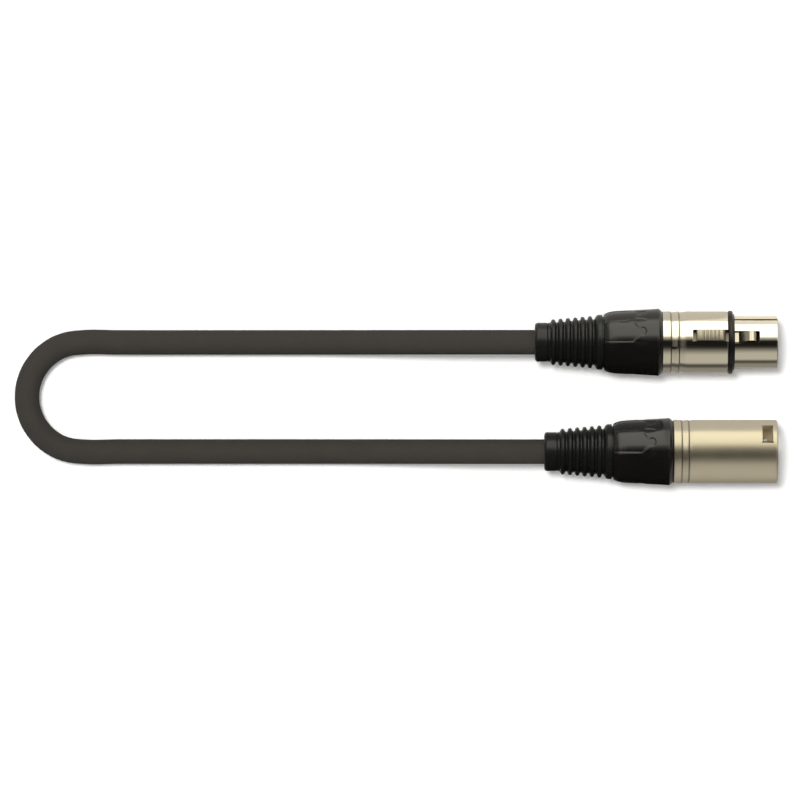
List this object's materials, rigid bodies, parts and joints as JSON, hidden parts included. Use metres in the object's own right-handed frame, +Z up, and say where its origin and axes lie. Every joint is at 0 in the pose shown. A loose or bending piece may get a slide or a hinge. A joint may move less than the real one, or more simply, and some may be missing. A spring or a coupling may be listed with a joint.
{
  "type": "xlr cable",
  "caption": "Balanced audio lead: a female and a male three-pole round plug with latch, screw caps and ribbed boots, joined by one flexible cable laid in a U",
  "frame": {"origin": "on the surface that the lead lies on, under the middle of the two plugs without their cable", "axes": "+X the way both plugs point, +Y from the male plug towards the female plug, +Z up"},
  "size_m": [0.2289, 0.0534, 0.0206],
  "materials": {
    "bright_nickel": "zinc die casting, bright nickel plating, polished",
    "satin_nickel": "zinc die casting, satin nickel plating",
    "black_rubber": "soft black rubber, faint sheen",
    "contact_block": "moulded black polyamide",
    "silver_contact": "turned brass, silver plated",
    "latch_steel": "nickel-plated steel, grooved pad",
    "spring_steel": "plain spring steel",
    "chuck_plastic": "moulded acetal, off-white",
    "cap_plastic": "moulded black polyamide, glossy",
    "boot_rubber": "moulded black elastomer, matte",
    "cable_jacket": "dark grey flexible jacket, matte",
    "copper_wire": "twisted bare copper strands",
    "red_core": "red insulated core",
    "white_core": "white insulated core"
  },
  "bodies": {
    "lead": {"female_shell": "bright_nickel", "nose_ring": "black_rubber", "female_insert": "contact_block", "female_contact_1": "silver_contact", "female_contact_2": "silver_contact", "female_contact_3": "silver_contact", "latch_spring": "spring_steel", "female_ground_spring": "spring_steel", "female_chuck": "chuck_plastic", "female_cable_end": "cable_jacket", "female_shield_wire": "copper_wire", "female_conductor_2": "red_core", "female_conductor_3": "white_core", "male_shell": "satin_nickel", "male_insert": "contact_block", "male_pin_1": "silver_contact", "male_pin_2": "silver_contact", "male_pin_3": "silver_contact", "male_ground_spring": "spring_steel", "male_chuck": "chuck_plastic", "male_cable_end": "cable_jacket", "male_shield_wire": "copper_wire", "male_conductor_2": "red_core", "male_conductor_3": "white_core", "cable": "cable_jacket"},
    "latch": {"latch": "latch_steel"},
    "female_boot": {"female_boot": "boot_rubber"},
    "female_bushing": {"female_bushing": "cap_plastic"},
    "male_boot": {"male_boot": "boot_rubber"},
    "male_bushing": {"male_bushing": "cap_plastic"}
  },
  "joints": [
    {"name": "latch_press", "type": "hinge", "parent": "lead", "child": "latch", "pos_m": [0.01063, 0.01766, 0.01596], "axis": [0, 0.9763, -0.2164], "range_deg": [0, 4], "stiffness_Nm_per_rad": 0.02, "springref_deg": -5.73, "deforming": ["latch_spring"]},
    {"name": "female_cap_travel", "type": "slide", "parent": "lead", "child": "female_boot", "axis": [-1, 0, 0], "range_m": [0, 0.006]},
    {"name": "female_cap_turn", "type": "hinge", "parent": "female_boot", "child": "female_bushing", "pos_m": [0, 0.0164, 0.0103], "axis": [-1, 0, 0], "range_deg": [0, 1440]},
    {"name": "male_cap_travel", "type": "slide", "parent": "lead", "child": "male_boot", "axis": [-1, 0, 0], "range_m": [0, 0.006]},
    {"name": "male_cap_turn", "type": "hinge", "parent": "male_boot", "child": "male_bushing", "pos_m": [0, -0.0164, 0.0103], "axis": [-1, 0, 0], "range_deg": [0, 1440]}
  ],
  "couplings": [
    {"joint": "female_cap_travel", "follows": "female_cap_turn", "m_per_rad": 0.0002387},
    {"joint": "male_cap_travel", "follows": "male_cap_turn", "m_per_rad": 0.0002387}
  ]
}
